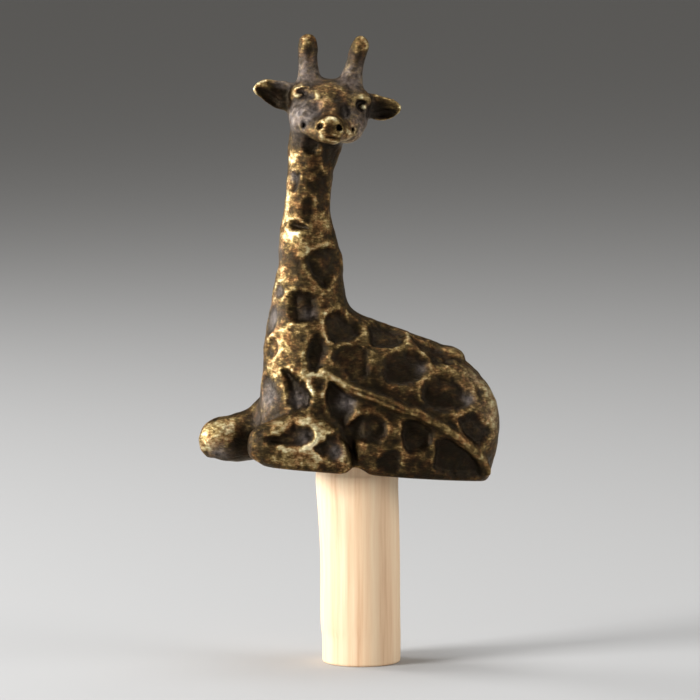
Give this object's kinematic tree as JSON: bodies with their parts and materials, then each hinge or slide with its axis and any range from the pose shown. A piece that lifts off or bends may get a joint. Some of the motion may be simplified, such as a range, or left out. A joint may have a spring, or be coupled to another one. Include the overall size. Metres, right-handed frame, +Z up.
{
  "type": "giraffe statue",
  "caption": "Resting giraffe figurine in dark patinated cast brass, head turned to its side, fixed on the end of a short round wooden dowel.",
  "frame": {"origin": "centre of the dowel's cut lower end face, which the statue stands or is fixed on", "axes": "+Z up the dowel towards the giraffe's head; +X from the giraffe's chest to its rump; -Y is the side that its head is turned to, its own left"},
  "size_m": [0.0943, 0.0459, 0.1991],
  "materials": {
    "patinated_brass": "cast brass with a dark brown patina in the recesses, rubbed bright on the ridges",
    "pale_wood": "bare pale straight-grained wood, trimmed by hand, matt",
    "cured_glue": "cured epoxy, slightly yellow",
    "stud_steel": "plain zinc-plated steel thread"
  },
  "bodies": {
    "root": {"giraffe_casting": "patinated_brass", "wooden_dowel": "pale_wood", "glue_cup": "cured_glue", "threaded_stud": "stud_steel"}
  },
  "joints": []
}
